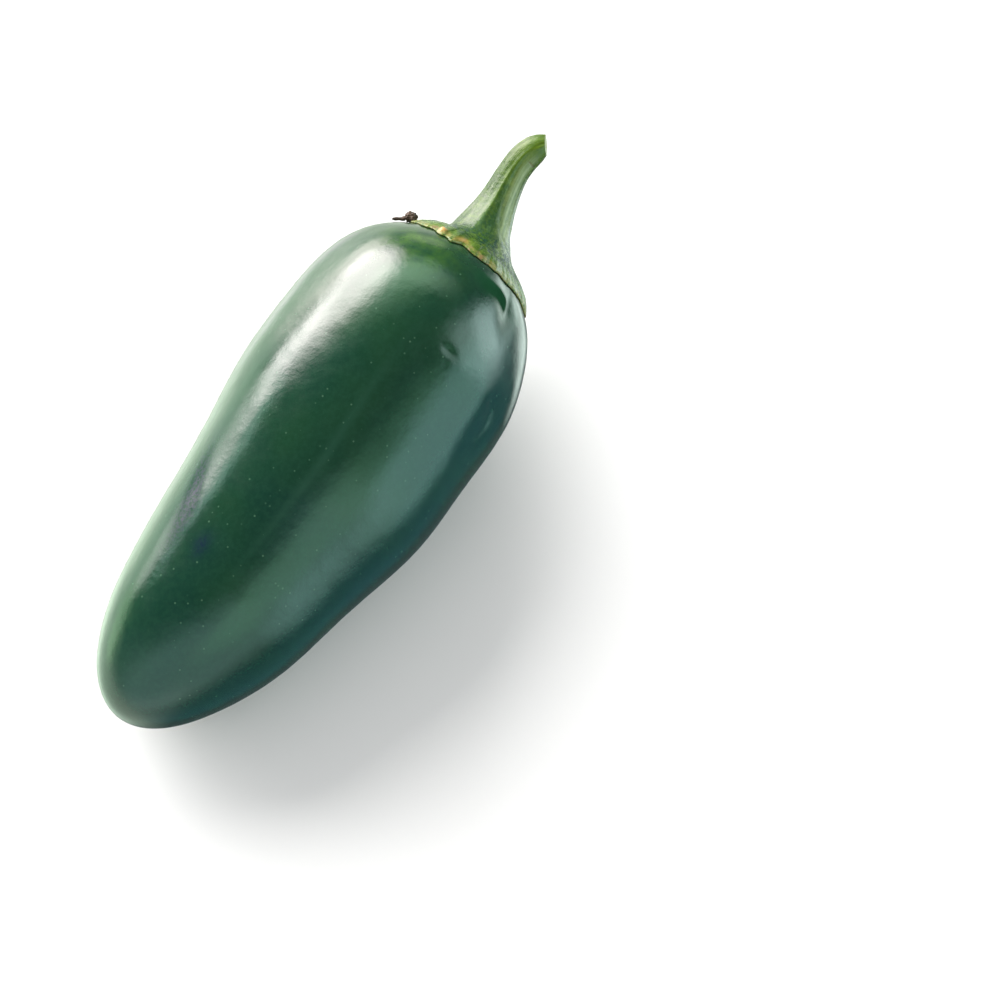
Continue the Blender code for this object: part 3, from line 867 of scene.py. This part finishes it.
def calyx_and_stem_rings(angle, cut_edge, middle):
    """Each ring from the cut's middle down to the middle of the calyx's underside: its points, how far
    along the grain it lies, and its marks of colour."""
    faces = np.array(CUT_FACES)
    for share in np.linspace(0, 1, CUT_RINGS + 1)[1:-1]:
        points = middle + (cut_edge - middle) * share - PITH_DEPTH * (1 - share**2) * faces
        lumps = CUT_LUMP_HEIGHT * smooth_noise(points, CUT_LUMP_LENGTH, CUT_SEED) * (1 - share**4)
        yield points + lumps[:, None] * faces, 0.0, {"cut": 1.0}
    for share in np.linspace(1, 0, STEM_RINGS):
        yield stem_ring(share, angle), STEM_GRAIN * (1 - share), stem_marks(share, angle)
    for share in np.linspace(PLATE_STARTS, PLATE_ENDS, PLATE_RINGS):
        yield plate_ring(share, angle), STEM_GRAIN + PLATE_GRAIN * share, plate_marks(share, angle)
    for turn in np.linspace(0, math.pi, RIM_RINGS + 2)[1:-1]:
        height = RIM_GAP + 0.5 * THIN_RIM * (1 + math.cos(turn))
        share = PLATE_ENDS + (1 - PLATE_ENDS) * math.sin(turn)
        marks = {"rim": 1.0, "dry": LIP_BROWNING * ramp(turn / math.pi, *LIP_RAMP)}
        yield over_shoulder(share, np.full_like(angle, height), angle), STEM_GRAIN + PLATE_GRAIN, marks
    for share in np.linspace(PLATE_ENDS, 0, UNDER_RINGS + 1)[:-1]:
        points = over_shoulder(share, np.full_like(angle, RIM_GAP), angle)
        yield points, STEM_GRAIN + PLATE_GRAIN, {"dry": UNDERSIDE_BROWNING}


def make_calyx_with_stem():
    angle = np.linspace(0, 2 * math.pi, STEM_SEGMENTS, endpoint=False)
    cut_edge = stem_ring(1.0, angle)
    middle = cut_edge.mean(axis=0)
    rings, along, marks = zip(*calyx_and_stem_rings(angle, cut_edge, middle))
    ends = middle - PITH_DEPTH * np.array(CUT_FACES), over_shoulder(0.0, np.full(1, RIM_GAP), angle[:1])[0]
    values = {}
    for title in STEM_MARKS:
        rows = [ring_marks.get(title, 0.0) * np.ones_like(angle) for ring_marks in marks]
        values[title] = np.append(np.concatenate(rows), (rows[0][0], rows[-1][0]))
    tube = np.stack((np.cos(angle), np.sin(angle), np.zeros_like(angle)), axis=-1) * GRAIN_RADIUS
    grain = [tube + (0, 0, GRAIN_SHORTENING * metres) for metres in along]
    values["grain"] = np.concatenate(grain + [np.zeros((2, 3))])
    return make_piece("calyx_and_stem", rings, ends, values, stem_look())


def add_bead(bm, seat):
    """A lumpy ball round the seat."""
    ball = bmesh.ops.create_icosphere(bm, subdivisions=5, radius=BEAD_RADIUS)
    for vertex in ball["verts"]:
        swell = 1.0
        for length, height, shift in BEAD_LUMPS:
            swell += height * noise.noise(vertex.co / length + Vector(shift))
        vertex.co = seat + vertex.co * swell


def add_spur(bm, seat, out, run):
    """A closed, bent and knotty spur that starts in the bead at the seat."""
    side = run.cross(out)
    rings = []
    for step in range(SPUR_STEPS + 1):
        share = step / SPUR_STEPS
        middle = seat - out * (SPUR_SINK + SPUR_STOOP * share)
        middle = middle + run * (SPUR_STARTS + share * SPUR_LENGTH)
        middle = middle + side * SPUR_SWAY * math.sin(SPUR_SWAY_TURN * share)
        radius = SPUR_RADIUS * (1 - SPUR_TAPER * share) * (1 + SPUR_KNOTS * math.sin(SPUR_KNOT_TURN * share))
        if step == SPUR_STEPS:
            radius = SPUR_END * radius
        rings.append([bm.verts.new(middle + radius * (math.cos(turn) * out + math.sin(turn) * side))
                      for turn in np.linspace(0, 2 * math.pi, SPUR_SEGMENTS, endpoint=False)])
    for near, far in zip(rings, rings[1:]):
        for j in range(SPUR_SEGMENTS):
            k = (j + 1) % SPUR_SEGMENTS
            bm.faces.new((near[j], near[k], far[k], far[j]))
    bm.faces.new(reversed(rings[0]))
    bm.faces.new(rings[-1])


def make_withered_end():
    """The curled, dried end of one sepal: a lumpy bead on the rim, with a spur along the shoulder."""
    reach = rim_reach(np.array([BEAD_ANGLE]))[0]
    ahead = 0.1
    out = Vector(shoulder_out(reach, BEAD_ANGLE))
    run = (Vector(shoulder(reach + ahead, BEAD_ANGLE)) - Vector(shoulder(reach, BEAD_ANGLE))).normalized()
    seat = Vector(shoulder(reach, BEAD_ANGLE)) + out * (CALYX_GAP + BEAD_LIFT)
    bm = bmesh.new()
    add_bead(bm, seat)
    add_spur(bm, seat, out, run)
    bmesh.ops.recalc_face_normals(bm, faces=bm.faces)
    mesh = bpy.data.meshes.new("withered_end")
    bm.to_mesh(mesh)
    bm.free()
    mesh.transform(Matrix.Translation(SHIFT) @ REST_TURN.to_4x4())
    mesh.shade_smooth()
    mesh.materials.append(withered_look())
    return add_object("withered_end", mesh)


def fit_in_cad_box(pieces):
    """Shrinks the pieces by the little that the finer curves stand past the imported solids' box."""
    bpy.context.view_layer.update()
    corners = np.array([tuple(vertex.co) for piece in pieces for vertex in piece.data.vertices])
    low, high = (np.array(corner) for corner in CAD_BOX)
    middle = (low + high) / 2
    middle[2] = low[2]
    over = np.abs(corners - middle).max(axis=0) / (np.maximum(high - middle, middle - low))
    share = 1 / max(1.0, over.max())
    fit = Matrix.Translation(middle) @ Matrix.Scale(share, 4) @ Matrix.Translation(-middle)
    for piece in pieces:
        piece.data.transform(fit)


def make_floor():
    bm = bmesh.new()
    bmesh.ops.create_grid(bm, x_segments=8, y_segments=8, size=FLOOR_SIZE / 2)
    mesh = bpy.data.meshes.new("floor")
    bm.to_mesh(mesh)
    bm.free()
    mesh.materials.append(floor_look())
    made = add_object("floor", mesh)
    made.visible_glossy = False
    return made


def add_glow(tree, directions, azimuth, elevation, half_width, half_height, softness, radiance):
    """A soft-edged oval of light in the surroundings, round a direction."""
    turn = Euler((0, -math.radians(elevation), math.radians(azimuth)))
    size = (1.0, math.sin(math.radians(half_width)), math.sin(math.radians(half_height)))
    local = add_node(tree, "ShaderNodeMapping", {"vector_type": "TEXTURE"}, {
        "Vector": directions, "Rotation": turn, "Scale": size}).outputs[0]
    parts = add_node(tree, "ShaderNodeSeparateXYZ", None, {0: local}).outputs
    flat = add_node(tree, "ShaderNodeCombineXYZ", None, {1: parts[1], 2: parts[2]}).outputs[0]
    away = add_node(tree, "ShaderNodeVectorMath", {"operation": "LENGTH"}, {0: flat}).outputs["Value"]
    share = ranged(tree, away, 1 - softness, 1 + softness, 1.0, 0.0)
    front = ranged(tree, parts[0], *GLOW_FRONT)
    return mixed(tree, times(tree, share, front), (0.0, 0.0, 0.0), radiance)


def make_surroundings():
    """Soft glows that only glossy surfaces reflect, before a white backdrop."""
    world = bpy.data.worlds.new("studio")
    bpy.context.scene.world = world
    world.use_nodes = True
    world.cycles_visibility.diffuse = False
    tree = world.node_tree
    tree.nodes.clear()
    directions = add_node(tree, "ShaderNodeTexCoord").outputs["Generated"]
    total = DIM_LIGHT
    for glow in GLOWS:
        light = add_glow(tree, directions, *glow)
        total = add_node(tree, "ShaderNodeVectorMath", {"operation": "ADD"}, {0: total, 1: light}).outputs[0]
    studio = add_node(tree, "ShaderNodeBackground", None, {"Color": total}).outputs[0]
    backdrop = add_node(tree, "ShaderNodeBackground", None, {"Color": BACKDROP}).outputs[0]
    seen = add_node(tree, "ShaderNodeLightPath").outputs["Is Camera Ray"]
    both = add_node(tree, "ShaderNodeMixShader", None, {0: seen, 1: studio, 2: backdrop}).outputs[0]
    add_node(tree, "ShaderNodeOutputWorld", None, {"Surface": both})


def make_lamps():
    for name, azimuth, elevation, spread, strength, colour in LAMPS:
        data = bpy.data.lights.new(name, "SUN")
        data.energy = strength
        data.angle = math.radians(spread)
        data.color = colour
        lamp = add_object(name, data)
        lamp.rotation_euler = Euler((0, math.radians(90 - elevation), math.radians(azimuth)))
        lamp.visible_glossy = False


def make_camera():
    """The camera stands at the photograph's viewing angle, with no roll."""
    back = Vector((
        -math.cos(CAMERA_TURN) * math.cos(CAMERA_ELEVATION),
        -math.sin(CAMERA_TURN) * math.cos(CAMERA_ELEVATION),
        math.sin(CAMERA_ELEVATION),
    ))
    data = bpy.data.cameras.new("camera")
    data.lens = CAMERA_LENS
    data.sensor_width = CAMERA_SENSOR
    camera = add_object("camera", data)
    camera.location = CAMERA_AIM + CAMERA_DISTANCE * back
    camera.rotation_euler = (-back).to_track_quat("-Z", "Y").to_euler()
    bpy.context.scene.camera = camera


pod = make_pod()
calyx = make_calyx_with_stem()
withered = make_withered_end()
fit_in_cad_box((pod, calyx, withered))
floor = make_floor()
make_surroundings()
make_lamps()
make_camera()
bpy.context.scene.view_settings.view_transform = "Standard"

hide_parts("pod")
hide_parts("calyx_with_stem")
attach(pod, "root")
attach(calyx, "root")
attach(withered, "root")
